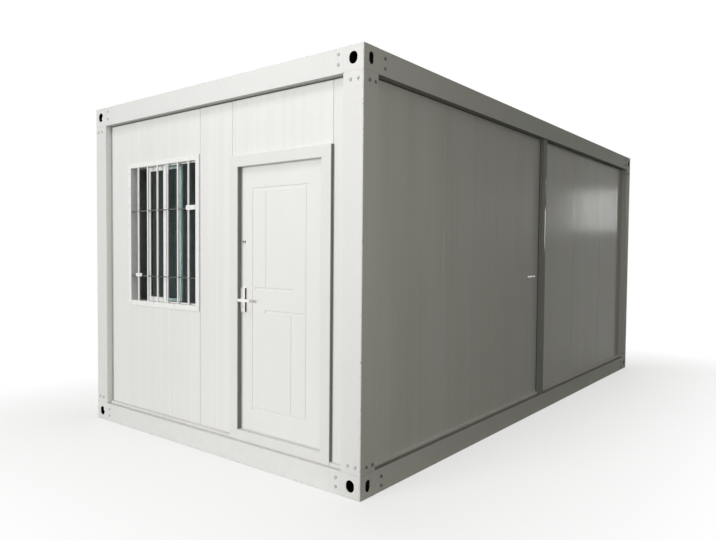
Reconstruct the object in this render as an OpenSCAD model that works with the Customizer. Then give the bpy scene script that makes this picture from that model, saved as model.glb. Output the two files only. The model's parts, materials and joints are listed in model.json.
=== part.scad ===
// Portable site cabin: bolted steel frame, sandwich wall panels, barred window and hinged door
// Millimetres, +Z up, front wall toward -Y, origin on the ground at the middle of the plan

/* [Cabin] */
// Outside length, front to back
cabin_length = 6000; // [4500:50:8000]
// Outside width across the front
cabin_width = 3000; // [2900:10:3600]
// Outside height, ground to the top of the castings
cabin_height = 2800; // [2700:10:3200]

/* [Frame] */
// Side of the square corner posts and castings
post_size = 160; // [150:2:200]
// Height of the bottom rails and the castings
rail_height = 155; // [140:5:200]
// Height of the top rails
top_rail_height = 160; // [145:5:200]
// Wall thickness of rails and posts
steel = 4; // [3:0.5:6]
// Wall thickness of the corner castings
casting_wall = 10; // [6:1:14]
// Radius of the posts' upright edges and of the castings' outer one
edge_radius = 8; // [7:0.5:12]
// Width of the lifting slots in the front, back, top and bottom faces
slot_width = 64; // [45:1:70]
// Width of the lifting slots in the side faces
side_slot_width = 51; // [40:1:70]
// Length of the lifting slots
slot_length = 77; // [72:1:100]
// Width of the posts half way along the sides
mid_post_width = 85; // [60:5:140]
// Distance of those posts behind the frame face
mid_post_set_back = 15; // [5:1:40]
// Width of the foot flange of the bottom rails
foot_flange = 90; // [60:5:120]

/* [Floor] */
// Thickness of the floor deck
deck_thickness = 22; // [16:1:30]
// Number of joists under the deck
joist_count = 11; // [6:1:16]
// Width of each joist
joist_width = 50; // [40:5:80]
// Wall thickness of the joists
joist_wall = 3; // [2:0.5:5]

/* [Roof] */
// Width of the flat top of the top rails
gutter_edge = 60; // [40:5:80]
// Depth of the roof tray below the top of the rails
gutter_depth = 45; // [40:1:60]
// Width of the ledge under the roof sheet
gutter_ledge = 60; // [40:5:70]
// Thickness of the roof sheet
sheet = 3; // [2:0.5:4]
// Distance between the roof ribs
rib_pitch = 475; // [300:25:600]
// Height of the roof ribs
rib_height = 26; // [12:1:30]
// Width of a roof rib at its foot
rib_foot = 56; // [44:2:80]
// Width of a roof rib at its crest
rib_crest = 28; // [20:2:40]
// Thickness of the ceiling lining
ceiling_thickness = 20; // [10:1:30]

/* [Walls] */
// Distance of the wall face behind the frame face
recess = 55; // [48:1:65]
// Thickness of the wall panels
panel_thickness = 75; // [70:1:78]
// Number of panels in each side bay
bay_panels = 3; // [2:1:4]
// Number of panels in the back wall
back_panels = 3; // [2:1:4]
// Open joint between neighbouring panels
panel_gap = 1; // [0.5:0.25:3]
// Bevel along the upright edges of a panel
joint_bevel = 4; // [2:0.5:6]
// Distance between the pressed ribs of a panel
groove_pitch = 90; // [60:5:200]
// Width of a pressed rib line
groove_width = 20; // [6:1:20]
// Depth of a pressed rib line
groove_depth = 1; // [1:0.25:4]
// Thickness of the tongue between panels
tongue_thickness = 20; // [12:1:30]
// Reach of the tongue between panels
tongue_reach = 12; // [8:1:18]
// Height of the shadow groove under the top rails
head_gap = 8; // [5:1:30]
// Depth of the shadow groove behind the wall face
head_set_back = 25; // [15:1:40]

/* [Sill trim] */
// Distance the trim at the foot of a wall stands off the wall
trim_depth = 20; // [12:1:34]
// Height of the trim's outer edge
trim_edge = 18; // [10:1:30]
// Rise of the trim's top toward the wall
trim_rise = 6; // [2:1:12]

/* [Window] */
// Outside width of the window frame
window_width = 960; // [700:10:1000]
// Outside height of the window frame
window_height = 1220; // [800:10:1250]
// Height of the window frame above the ground
window_bottom = 1065; // [900:5:1150]
// Distance of the window frame from the panel edge
window_margin = 8; // [2:1:30]
// Visible width of the window frame
window_face = 42; // [38:1:60]
// Distance the window frame stands proud of the wall
window_proud = 10; // [6:1:20]
// Overlap of the window frame on the wall
window_lap = 25; // [15:1:30]
// Distance of the fixed light behind the window frame's face
sash_set = 32; // [30:1:38]
// Thickness of the fixed light and of the sliding sash
sash_thickness = 20; // [16:1:21]
// Visible width of the sash stiles
sash_stile = 38; // [25:1:45]
// Visible width of the bead round the fixed light
bead = 12; // [8:1:20]
// Distance that the sliding sash stands open
sash_slide = 175; // [0:5:250]
// Thickness of the glass
glass_thickness = 5; // [4:1:8]
// Number of upright security bars
bar_count = 6; // [4:1:9]
// Diameter of the upright security bars
bar_diameter = 18; // [12:1:20]
// Distance of the first and last bar from the sides of the opening
bar_margin = 98; // [60:1:130]
// Distance of the bars' middle behind the window frame's face
bar_set = 13; // [12:1:16]
// Depth of the two cross bars
cross_depth = 12; // [10:1:24]
// Thickness of the two cross bars
cross_thickness = 8; // [4:1:10]
// Height of the lower cross bar, as a share of the opening
cross_low = 0.185; // [0.1:0.005:0.35]
// Height of the upper cross bar, as a share of the opening
cross_high = 0.67; // [0.55:0.005:0.9]

/* [Door] */
// Outside width of the door frame
door_width = 956; // [850:2:1000]
// Outside height of the door frame
door_height = 2073; // [1950:1:2200]
// Width of the wall strip between door frame and post
end_width = 116; // [100:2:250]
// Width of the wall panel between window and door
middle_width = 365; // [250:5:400]
// Visible width of the door frame
door_face = 80; // [60:1:90]
// Distance the door frame stands proud of the wall
door_proud = 24; // [10:1:30]
// Depth of the door stop in front of the leaf
stop_depth = 35; // [25:1:45]
// Width of the door stop beside the leaf
stop_width = 12; // [10:1:16]
// Height of the threshold
threshold = 75; // [60:1:90]
// Thickness of the door leaf
leaf_thickness = 45; // [40:1:48]
// Clearance around the door leaf
leaf_gap = 5; // [5:0.5:7]
// Clearance at the lock edge of the leaf
lock_gap = 7; // [7:0.5:8]

/* [Door pressing] */
// Distance of the pressed field from the lock edge of the leaf
press_inset = 134; // [125:1:150]
// Width of the pressed field
press_width = 514; // [400:2:520]
// Height of the pressed field
press_height = 1585; // [1200:5:1600]
// Sideways offset of the inner upright lines
press_side = 123; // [80:1:160]
// Height offset of the inner level lines
press_level = 80; // [50:5:150]
// Clear distance between inner lines and the field edge
press_clear = 34; // [30:1:50]
// Width of a pressed line
press_line = 24; // [16:1:28]
// Depth of a pressed line
press_depth = 4; // [2:0.5:6]

/* [Door furniture] */
// Distance of the lever from the lock edge
backset = 37; // [34:1:60]
// Height of the lever above the leaf's lower edge
lever_height = 960; // [850:5:1150]
// Length of the lever
lever_length = 118; // [90:2:140]
// Depth of the lever bar, up and down
lever_bar = 20; // [19:1:26]
// Thickness of the lever bar
lever_thickness = 12; // [8:1:16]
// Distance of the lever bar from the leaf
lever_stand = 46; // [40:1:60]
// Diameter of the lever spindle
spindle = 18; // [12:1:18]
// Clearance around the spindle
spindle_gap = 0.5; // [0.3:0.1:1]
// Width of the handle plates
plate_width = 46; // [40:1:60]
// Height of the handle plates
plate_height = 175; // [150:5:240]
// Thickness of the handle plates
plate_thickness = 14; // [4:1:16]
// Height of the viewer above the lever
viewer_rise = 425; // [350:5:500]
// Diameter of the viewer ring
viewer_diameter = 28; // [18:1:36]
// Distance the viewer ring stands off the leaf
viewer_depth = 8; // [4:1:12]
// Height of each hinge
hinge_height = 110; // [80:5:140]
// Radius of the hinge knuckles
knuckle = 7; // [6:0.5:8]
// Radius of the hinge pins
hinge_pin = 3; // [2.5:0.25:4]
// Clearance around and between the knuckles
knuckle_gap = 0.5; // [0.3:0.1:1]
// Thickness of the hinge plates
hinge_plate = 2.5; // [2:0.25:4]
// Reach of the hinge plates from the knuckles
hinge_reach = 36; // [28:1:38]
// Distance of the end hinges from the ends of the leaf
hinge_margin = 220; // [150:10:400]

/* [Hidden] */
$fn = 48;
// Overrun of cutters past the faces they cut
over = 1;
// Clearance where loose boards meet the frame
fit = 1;

half_width = cabin_width / 2;
half_length = cabin_length / 2;
wall_in = recess + panel_thickness;
seat_lip = 5;
seat_depth = wall_in + seat_lip;
head_set = recess + head_set_back;
head_lip = 60;
ceiling_ledge = post_size - fit;
head_z = cabin_height - top_rail_height;
wall_top = head_z - head_gap;
front_end = half_width - post_size;
side_end = half_length - post_size;
joist_margin = post_size + joist_width;
joist_height = rail_height - deck_thickness - steel;
joist_step = (cabin_length - 2 * joist_margin) / (joist_count - 1);
roof_z = cabin_height - gutter_depth + steel;
roof_half_width = half_width - gutter_edge - fit;
roof_half_length = half_length - gutter_edge - fit;
rib_count = floor(2 * (half_length - post_size) / rib_pitch);
tongue_start = (panel_thickness - tongue_thickness) / 2;
tongue_gap = 0.5;
// Step to which the pitch of a row of panels is rounded down, so that its ends never overlap
panel_step = 0.01;

door_right = front_end - end_width;
door_left = door_right - door_width;
door_top = rail_height + door_height;
middle_left = door_left - middle_width;
frame_front = recess - door_proud;
stop_back = frame_front + stop_depth;
leaf_out = stop_back + leaf_gap;
leaf_in = leaf_out + leaf_thickness;
opening_left = door_left + door_face;
opening_right = door_right - door_face;
opening_bottom = rail_height + threshold;
opening_top = door_top - door_face;
leaf_left = opening_left - stop_width + lock_gap;
leaf_right = opening_right + stop_width - leaf_gap;
leaf_bottom = opening_bottom - stop_width + leaf_gap;
leaf_top = opening_top + stop_width - leaf_gap;
press_mid = leaf_left + press_inset + press_width / 2;
leaf_level = (leaf_bottom + leaf_top) / 2;
lever_x = leaf_left + backset;
lever_z = leaf_bottom + lever_height;
hinge_x = leaf_right + leaf_gap / 2;
hinge_y = leaf_in + knuckle + hinge_plate;
hinge_third = hinge_height / 3;

window_right = middle_left - panel_gap - window_margin;
window_left = window_right - window_width;
glass_left = window_left + window_face;
glass_right = window_right - window_face;
glass_bottom = window_bottom + window_face;
glass_top = window_bottom + window_height - window_face;
glass_mid = (glass_left + glass_right) / 2;
sleeve_end = wall_in + seat_lip;
sash_gap = 1;
window_front = recess - window_proud;
fixed_depth = window_front + sash_set;
sliding_depth = fixed_depth + sash_thickness + sash_gap;
fixed_left = glass_mid - sash_stile / 2;
sliding_left = glass_left + sash_slide;
sliding_right = glass_mid + sash_stile / 2 + sash_slide;
bar_depth = window_front + bar_set;

paint = [0.86, 0.87, 0.86];
panel_paint = [0.9, 0.91, 0.9];
zinc = [0.72, 0.74, 0.76];
board = [0.55, 0.5, 0.45];
plastic = [0.95, 0.95, 0.95];
glass_tint = [0.35, 0.45, 0.45];

// Places wall coordinates (along, inward from the frame face, up) on a side: 0 front, 1 right, 2 back, 3 left
module on_wall(side) {
    rotate([0, 0, 90 * side])
        translate([0, side % 2 == 0 ? -half_length : -half_width, 0])
            children();
}

// Places corner coordinates, which run inward from the outer upright edge, on one of the four corners
module at_corner(right, back) {
    mirror([right ? 1 : 0, 0, 0])
        mirror([0, back ? 1 : 0, 0])
            translate([-half_width, -half_length, 0])
                children();
}

// Extrudes a section drawn as (inward, up) along a wall
module along(start, end) {
    translate([start, 0, 0])
        rotate([90, 0, 90])
            linear_extrude(end - start)
                children();
}

module box(x0, x1, y0, y1, z0, z1) {
    translate([x0, y0, z0])
        cube([x1 - x0, y1 - y0, z1 - z0]);
}

module rounded_square(side, radius) {
    translate([radius, 0])
        square([side - 2 * radius, side]);
    translate([0, radius])
        square([side, side - 2 * radius]);
    for (x = [radius, side - radius])
        for (y = [radius, side - radius])
            translate([x, y])
                circle(r = radius);
}

// Square with only its corner at the origin rounded
module corner_square(side, radius) {
    translate([radius, 0])
        square([side - radius, side]);
    translate([0, radius])
        square([side, side - radius]);
    translate([radius, radius])
        circle(r = radius);
}

// Round-ended slot through a plate, its length along Y and its depth along Z
module slot_cut(width) {
    straight = slot_length - width;
    depth = casting_wall + 2 * over;
    translate([-width / 2, -straight / 2, -over])
        cube([width, straight, depth]);
    for (y = [-straight / 2, straight / 2])
        translate([0, y, -over])
            cylinder(d = width, h = depth);
}

// Hollow casting with a slot in each of its three outer faces, in corner coordinates
module casting(top) {
    middle = post_size / 2;
    color(paint)
        translate([0, 0, top ? cabin_height - rail_height : 0])
            difference() {
                linear_extrude(rail_height)
                    corner_square(post_size, edge_radius);
                box(casting_wall, post_size - casting_wall, casting_wall, post_size - casting_wall,
                    casting_wall, rail_height - casting_wall);
                translate([middle, casting_wall, rail_height / 2])
                    rotate([90, 0, 0])
                        slot_cut(slot_width);
                translate([0, middle, rail_height / 2])
                    rotate([90, 0, 90])
                        slot_cut(side_slot_width);
                translate([middle, middle, top ? rail_height - casting_wall : 0])
                    slot_cut(slot_width);
            }
}

module corner_post() {
    color(paint)
        translate([0, 0, rail_height])
            linear_extrude(cabin_height - 2 * rail_height)
                difference() {
                    rounded_square(post_size, edge_radius);
                    translate([steel, steel])
                        rounded_square(post_size - 2 * steel, edge_radius - steel);
                }
}

module bottom_rail_section() {
    square([steel, rail_height]);
    square([foot_flange, steel]);
    translate([0, rail_height - steel])
        square([seat_depth, steel]);
    translate([seat_depth - steel, rail_height - deck_thickness])
        square([steel, deck_thickness]);
}

module top_rail_section() {
    tray = top_rail_height - gutter_depth;
    square([steel, top_rail_height]);
    translate([0, top_rail_height - steel])
        square([gutter_edge, steel]);
    translate([gutter_edge - steel, tray])
        square([steel, gutter_depth]);
    translate([gutter_edge - steel, tray])
        square([gutter_ledge, steel]);
    square([head_set + steel, steel]);
    translate([head_set, -head_gap])
        square([steel, head_gap + steel]);
    translate([head_set, -head_gap])
        square([ceiling_ledge - head_set, steel]);
    translate([seat_depth - steel, -head_gap])
        square([steel, head_lip]);
}

module bottom_rail(side) {
    end = side % 2 == 0 ? front_end : side_end;
    color(paint)
        on_wall(side)
            along(-end, end)
                bottom_rail_section();
}

module top_rail(side) {
    end = side % 2 == 0 ? front_end : side_end;
    color(paint)
        on_wall(side)
            translate([0, 0, head_z])
                along(-end, end)
                    top_rail_section();
}

module mid_post(depth, top) {
    translate([-mid_post_width / 2, mid_post_set_back, rail_height])
        linear_extrude(top - rail_height)
            difference() {
                square([mid_post_width, depth]);
                translate([steel, steel])
                    square([mid_post_width - 2 * steel, depth - 2 * steel]);
            }
}

// The front of each post rises past the shadow groove to the top rail
module mid_posts() {
    color(paint)
        for (side = [1, 3])
            on_wall(side) {
                mid_post(wall_in - mid_post_set_back, wall_top);
                mid_post(head_set - mid_post_set_back, head_z);
            }
}

module floor_joists() {
    half = half_width - steel;
    inner_width = joist_width - 2 * joist_wall;
    color(zinc)
        for (i = [0 : joist_count - 1])
            translate([-half, -half_length + joist_margin + i * joist_step - joist_width / 2, steel])
                difference() {
                    cube([2 * half, joist_width, joist_height]);
                    translate([-over, joist_wall, joist_wall])
                        cube([2 * half + 2 * over, inner_width, joist_height - 2 * joist_wall]);
                }
}

// Square notches that clear the corner castings and posts
module corner_notches(z0, z1) {
    for (right = [0, 1])
        for (back = [0, 1])
            at_corner(right, back)
                box(-over, post_size + fit, -over, post_size + fit, z0 - over, z1 + over);
}

module floor_deck() {
    x = half_width - seat_depth;
    y = half_length - seat_depth;
    color(board)
        difference() {
            box(-x, x, -y, y, rail_height - deck_thickness, rail_height);
            corner_notches(rail_height - deck_thickness, rail_height);
        }
}

module ceiling_lining() {
    x = half_width - seat_depth - fit;
    y = half_length - seat_depth - fit;
    z = wall_top + steel;
    color(plastic)
        difference() {
            box(-x, x, -y, y, z, z + ceiling_thickness);
            corner_notches(z, z + ceiling_thickness);
        }
}

// Folded rib of the roof sheet, drawn as (along the cabin, up)
module rib_section(inset) {
    foot = rib_foot / 2 - inset;
    crest = rib_crest / 2 - inset;
    top = rib_height + sheet - inset;
    polygon([[-foot, inset > 0 ? -over : 0], [foot, inset > 0 ? -over : 0], [crest, top], [-crest, top]]);
}

module roof_sheet() {
    first = -(rib_count - 1) * rib_pitch / 2;
    color(zinc)
        difference() {
            translate([-roof_half_width, 0, roof_z])
                rotate([90, 0, 90])
                    linear_extrude(2 * roof_half_width)
                        difference() {
                            union() {
                                translate([-roof_half_length, 0])
                                    square([2 * roof_half_length, sheet]);
                                for (i = [0 : rib_count - 1])
                                    translate([first + i * rib_pitch, 0])
                                        rib_section(0);
                            }
                            for (i = [0 : rib_count - 1])
                                translate([first + i * rib_pitch, 0])
                                    rib_section(sheet);
                        }
            corner_notches(roof_z, roof_z + rib_height + sheet);
        }
}

// Rib lines across one face of a panel, from x = 0 to x = width; sink is the inward direction
function rib_lines(width, face, sink) =
    let (count = max(1, round(width / groove_pitch)))
    [
        for (i = [1 : 1 : count - 1])
            each [
                [i * width / count - groove_width / 2, face],
                [i * width / count, face + sink * groove_depth],
                [i * width / count + groove_width / 2, face]
            ]
    ];

function backward(points) = [for (i = [len(points) - 1 : -1 : 0]) points[i]];

// Plan outline of a sandwich panel with pressed faces, a slot on the left and a tongue on the right
function panel_outline(width, slot, tongue) =
    let (
        t0 = tongue_start,
        t1 = tongue_start + tongue_thickness,
        reach = width + panel_gap + tongue_reach - tongue_gap * 2,
        far = panel_thickness
    )
    concat(
        [[0, joint_bevel], [joint_bevel, 0]],
        rib_lines(width, 0, 1),
        [[width - joint_bevel, 0], [width, joint_bevel]],
        tongue ? [[width, t0], [reach, t0], [reach, t1], [width, t1]] : [],
        [[width, far - joint_bevel], [width - joint_bevel, far]],
        backward(rib_lines(width, far, -1)),
        [[joint_bevel, far], [0, far - joint_bevel]],
        slot ? [
            [0, t1 + tongue_gap], [tongue_reach, t1 + tongue_gap],
            [tongue_reach, t0 - tongue_gap], [0, t0 - tongue_gap]
        ] : []
    );

module panel(left, right, bottom, top, slot, tongue) {
    translate([left, recess, bottom])
        linear_extrude(top - bottom)
            polygon(panel_outline(right - left, slot, tongue));
}

module panel_row(left, right, count) {
    pitch = floor((right - left + panel_gap) / count / panel_step) * panel_step;
    for (i = [0 : count - 1])
        panel(left + i * pitch, left + (i + 1) * pitch - panel_gap,
            rail_height, wall_top, i > 0, i < count - 1);
}

module front_window_panel() {
    color(panel_paint)
        on_wall(0)
            difference() {
                panel(-front_end, middle_left - panel_gap, rail_height, wall_top, false, true);
                box(window_left + window_lap, window_right - window_lap, recess - over, wall_in + over,
                    window_bottom + window_lap, window_bottom + window_height - window_lap);
            }
}

module front_middle_panel() {
    color(panel_paint)
        on_wall(0)
            panel(middle_left, door_left, rail_height, wall_top, true, false);
}

module front_door_head_panel() {
    color(panel_paint)
        on_wall(0)
            panel(door_left + panel_gap, door_right - panel_gap, door_top, wall_top, false, false);
}

module front_end_panel() {
    color(panel_paint)
        on_wall(0)
            panel(door_right, front_end, rail_height, wall_top, false, false);
}

module side_wall_panels(side) {
    color(panel_paint)
        on_wall(side) {
            panel_row(-side_end, -mid_post_width / 2, bay_panels);
            panel_row(mid_post_width / 2, side_end, bay_panels);
        }
}

module back_wall_panels() {
    color(panel_paint)
        on_wall(2)
            panel_row(-front_end, front_end, back_panels);
}

// Sloped strip at the foot of a wall, drawn as (inward, up) from the top of the bottom rail
module trim_section() {
    edge = recess - trim_depth;
    polygon([[edge, 0], [edge, trim_edge], [recess, trim_edge + trim_rise], [recess, 0]]);
}

module trim_run(start, end) {
    translate([0, 0, rail_height])
        along(start, end)
            trim_section();
}

module sill_trims() {
    color(paint) {
        on_wall(0) {
            trim_run(-front_end, door_left);
            trim_run(door_right, front_end);
        }
        on_wall(2)
            trim_run(-front_end, front_end);
        for (side = [1, 3])
            on_wall(side) {
                trim_run(-side_end, -mid_post_width / 2);
                trim_run(mid_post_width / 2, side_end);
            }
    }
}

module window_frame() {
    color(plastic)
        on_wall(0)
            difference() {
                union() {
                    box(window_left, window_right, window_front, recess,
                        window_bottom, window_bottom + window_height);
                    box(window_left + window_lap, window_right - window_lap, recess, sleeve_end,
                        window_bottom + window_lap, window_bottom + window_height - window_lap);
                }
                box(glass_left, glass_right, window_front - over, sleeve_end + over,
                    glass_bottom, glass_top);
            }
}

// Glazed frame with a full stile on its left and the given edge on its other three sides
module sash(left, right, depth, edge) {
    difference() {
        box(left, right, depth, depth + sash_thickness, glass_bottom, glass_top);
        box(left + sash_stile, right - edge, depth - over, depth + sash_thickness + over,
            glass_bottom + edge, glass_top - edge);
    }
}

// The fixed light closes the right half, and the sliding sash runs behind it
module window_sashes() {
    color(plastic)
        on_wall(0) {
            sash(fixed_left, glass_right, fixed_depth, bead);
            sash(sliding_left, sliding_right, sliding_depth, sash_stile);
        }
}

module pane(left, right, depth, edge) {
    face = depth + (sash_thickness - glass_thickness) / 2;
    box(left + sash_stile, right - edge, face, face + glass_thickness,
        glass_bottom + edge, glass_top - edge);
}

module window_glass() {
    color(glass_tint)
        on_wall(0) {
            pane(fixed_left, glass_right, fixed_depth, bead);
            pane(sliding_left, sliding_right, sliding_depth, sash_stile);
        }
}

module window_grille() {
    height = glass_top - glass_bottom;
    pitch = (glass_right - glass_left - 2 * bar_margin) / (bar_count - 1);
    color(plastic)
        on_wall(0) {
            for (i = [0 : bar_count - 1])
                translate([glass_left + bar_margin + i * pitch, bar_depth, glass_bottom])
                    cylinder(d = bar_diameter, h = height);
            for (share = [cross_low, cross_high])
                translate([glass_left, bar_depth - cross_depth / 2, glass_bottom + share * height])
                    cube([glass_right - glass_left, cross_depth, cross_thickness]);
        }
}

module door_frame() {
    color(paint)
        on_wall(0)
            difference() {
                box(door_left, door_right, frame_front, leaf_in, rail_height, door_top);
                box(opening_left, opening_right, frame_front - over, leaf_in + over,
                    opening_bottom, opening_top);
                box(opening_left - stop_width, opening_right + stop_width, stop_back, leaf_in + over,
                    opening_bottom - stop_width, opening_top + stop_width);
            }
}

// Sloped groove pressed into the outer face of the leaf, upright, centred on x
module upright_line(x, bottom, top) {
    half = press_line / 2;
    translate([x, leaf_out, bottom - half])
        linear_extrude(top - bottom + press_line)
            polygon([
                [-half, -over], [half, -over], [half, 0],
                [half - press_depth, press_depth], [press_depth - half, press_depth], [-half, 0]
            ]);
}

// The same groove laid level, centred on z
module level_line(z, left, right) {
    half = press_line / 2;
    translate([0, leaf_out, z])
        along(left - half, right + half)
            polygon([
                [-over, -half], [-over, half], [0, half],
                [press_depth, half - press_depth], [press_depth, press_depth - half], [0, -half]
            ]);
}

// Pressed pattern: a tall field outline, and two inner corners that turn about its middle
module pressing() {
    left = press_mid - press_width / 2;
    right = press_mid + press_width / 2;
    bottom = leaf_level - press_height / 2;
    top = leaf_level + press_height / 2;
    upright_line(left, bottom, top);
    upright_line(right, bottom, top);
    level_line(bottom, left, right);
    level_line(top, left, right);
    upright_line(press_mid - press_side, leaf_level + press_level, top - press_clear);
    level_line(leaf_level + press_level, left + press_clear, press_mid + press_side);
    level_line(leaf_level - press_level, press_mid - press_side, right - press_clear);
    upright_line(press_mid + press_side, bottom + press_clear, leaf_level - press_level);
}

module door_leaf() {
    middle = (leaf_out + leaf_in) / 2;
    color(panel_paint)
        on_wall(0)
            difference() {
                box(leaf_left, leaf_right, leaf_out, leaf_in, leaf_bottom, leaf_top);
                pressing();
                translate([0, 2 * middle, 0])
                    mirror([0, 1, 0])
                        pressing();
                translate([lever_x, leaf_out - over, lever_z])
                    rotate([-90, 0, 0])
                        cylinder(d = spindle + 2 * spindle_gap, h = leaf_thickness + 2 * over);
            }
}

module at_hinges() {
    for (z = [leaf_bottom + hinge_margin, leaf_level, leaf_top - hinge_margin])
        translate([hinge_x, hinge_y, z - hinge_height / 2])
            children();
}

// Hinge halves fixed to the frame: plate, two outer knuckles and the pin
module frame_hinge_halves() {
    face = leaf_in - hinge_y;
    plate_start = knuckle + knuckle_gap;
    color(zinc)
        on_wall(0)
            at_hinges() {
                box(plate_start, plate_start + hinge_reach, face, face + hinge_plate, 0, hinge_height);
                for (z = [0, 2 * hinge_third]) {
                    translate([0, 0, z])
                        cylinder(r = knuckle, h = hinge_third);
                    box(0, plate_start, face + knuckle_gap, 0, z, z + hinge_third);
                    box(knuckle / 2, plate_start + hinge_plate, face, 0, z, z + hinge_third);
                }
                cylinder(r = hinge_pin, h = hinge_height);
            }
}

// Hinge halves fixed to the leaf: plate and middle knuckle
module leaf_hinge_halves() {
    face = leaf_in - hinge_y;
    plate_start = knuckle + knuckle_gap;
    low = hinge_third + knuckle_gap;
    high = 2 * hinge_third - knuckle_gap;
    color(zinc)
        on_wall(0)
            at_hinges() {
                box(-plate_start - hinge_reach, -plate_start, face, face + hinge_plate, 0, hinge_height);
                difference() {
                    union() {
                        translate([0, 0, low])
                            cylinder(r = knuckle, h = high - low);
                        box(-plate_start - hinge_plate, -knuckle / 2, face, 0, low, high);
                    }
                    translate([0, 0, low - over])
                        cylinder(r = hinge_pin + knuckle_gap, h = high - low + 2 * over);
                }
            }
}

module door_lock_plates() {
    color(zinc)
        on_wall(0) {
            for (y = [leaf_out - plate_thickness, leaf_in])
                difference() {
                    box(lever_x - plate_width / 2, lever_x + plate_width / 2, y, y + plate_thickness,
                        lever_z - plate_height / 2, lever_z + plate_height / 2);
                    translate([lever_x, y - over, lever_z])
                        rotate([-90, 0, 0])
                            cylinder(d = spindle + 2 * spindle_gap, h = plate_thickness + 2 * over);
                }
            translate([lever_x, leaf_out - viewer_depth, lever_z + viewer_rise])
                rotate([-90, 0, 0])
                    cylinder(d = viewer_diameter, h = viewer_depth);
        }
}

// Lever bar with round ends, from the spindle toward the hinges
module lever_arm(depth) {
    radius = lever_bar / 2;
    run = lever_length - lever_bar;
    translate([lever_x, depth, lever_z]) {
        rotate([-90, 0, 0])
            cylinder(r = radius, h = lever_thickness);
        translate([run, 0, 0])
            rotate([-90, 0, 0])
                cylinder(r = radius, h = lever_thickness);
        translate([0, 0, -radius])
            cube([run, lever_thickness, lever_bar]);
    }
}

module door_levers() {
    outside = leaf_out - lever_stand - lever_thickness;
    inside = leaf_in + lever_stand;
    color(zinc)
        on_wall(0) {
            translate([lever_x, outside + lever_thickness / 2, lever_z])
                rotate([-90, 0, 0])
                    cylinder(d = spindle, h = inside - outside);
            lever_arm(outside);
            lever_arm(inside);
        }
}

at_corner(false, false) casting(false);  // bottom_casting_front_left
at_corner(true, false) casting(false);  // bottom_casting_front_right
at_corner(false, true) casting(false);  // bottom_casting_back_left
at_corner(true, true) casting(false);  // bottom_casting_back_right
at_corner(false, false) casting(true);  // top_casting_front_left
at_corner(true, false) casting(true);  // top_casting_front_right
at_corner(false, true) casting(true);  // top_casting_back_left
at_corner(true, true) casting(true);  // top_casting_back_right
at_corner(false, false) corner_post();  // corner_post_front_left
at_corner(true, false) corner_post();  // corner_post_front_right
at_corner(false, true) corner_post();  // corner_post_back_left
at_corner(true, true) corner_post();  // corner_post_back_right
bottom_rail(0);  // bottom_rail_front
bottom_rail(1);  // bottom_rail_right
bottom_rail(2);  // bottom_rail_back
bottom_rail(3);  // bottom_rail_left
top_rail(0);  // top_rail_front
top_rail(1);  // top_rail_right
top_rail(2);  // top_rail_back
top_rail(3);  // top_rail_left
mid_posts();
floor_joists();
floor_deck();
ceiling_lining();
roof_sheet();
front_window_panel();
front_middle_panel();
front_door_head_panel();
front_end_panel();
side_wall_panels(1);  // right_wall_panels
back_wall_panels();
side_wall_panels(3);  // left_wall_panels
sill_trims();
window_frame();
window_sashes();
window_glass();
window_grille();
door_frame();
frame_hinge_halves();
door_leaf();
leaf_hinge_halves();
door_lock_plates();
door_levers();
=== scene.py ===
"""Portable site cabin: studio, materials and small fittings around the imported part."""

import json
import math

import bpy
from mathutils import Matrix, Vector


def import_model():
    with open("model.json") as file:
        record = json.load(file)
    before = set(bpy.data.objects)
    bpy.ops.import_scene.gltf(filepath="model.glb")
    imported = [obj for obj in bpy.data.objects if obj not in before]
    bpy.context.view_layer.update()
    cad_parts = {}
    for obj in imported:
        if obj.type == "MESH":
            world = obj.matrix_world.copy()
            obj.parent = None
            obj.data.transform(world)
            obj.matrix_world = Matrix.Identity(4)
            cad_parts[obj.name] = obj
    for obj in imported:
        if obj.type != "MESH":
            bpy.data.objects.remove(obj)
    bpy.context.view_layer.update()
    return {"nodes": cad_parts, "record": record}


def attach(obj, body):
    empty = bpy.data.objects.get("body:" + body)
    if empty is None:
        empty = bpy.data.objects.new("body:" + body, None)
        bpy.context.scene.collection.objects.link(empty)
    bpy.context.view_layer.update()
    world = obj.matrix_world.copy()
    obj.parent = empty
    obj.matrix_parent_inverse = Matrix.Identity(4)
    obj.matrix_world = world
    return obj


# Lengths are in metres and places are in the cabin's frame, with its front toward -Y and Z up

# Outer faces of the cabin, and its box as axis, half size and middle
HALF_WIDTH = 1.5
HALF_LENGTH = 3.0
HEIGHT = 2.8
BOX = (("X", HALF_WIDTH, 0.0), ("Y", HALF_LENGTH, 0.0), ("Z", HEIGHT / 2, HEIGHT / 2))

# Directions that fittings face
TO_FRONT = (0.0, -1.0, 0.0)
TO_BACK = (0.0, 1.0, 0.0)
UPWARD = (0.0, 0.0, 1.0)

# Colours that more than one place uses
WHITE = (1.0, 1.0, 1.0, 1.0)
COOL_LIGHT = (0.985, 0.98, 1.0)

# Marks on the right side: the scuff on the wall and the bare strip on the middle post
SCUFF_ALONG = (-0.27, -0.1)
SCUFF_LEVEL = (1.307, 1.317)
SCRAPE_ALONG = (0.016, 0.025)
SCRAPE_LEVEL = (1.6, 2.2)

# Heights of the middles of the grille's two cross bars
CROSS_BARS = (1.321, 1.872)
# Half the width of the painted shade line on the cross bars, and the depths over which it starts
DARK_LINE = 0.0045
DARK_DEPTHS = (-2.9505, -2.949)

# Eased edges of the CAD nodes by material slot, where 0 leaves them sharp
EDGES = {
    "frame_paint": 0.0018,
    "panel_paint": 0.0,
    "hardware": 0.0012,
    "white_plastic": 0.002,
    "bar_paint": 0.0012,
    "window_glass": 0.0004,
}
OTHER_EDGE = 0.0015

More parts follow.
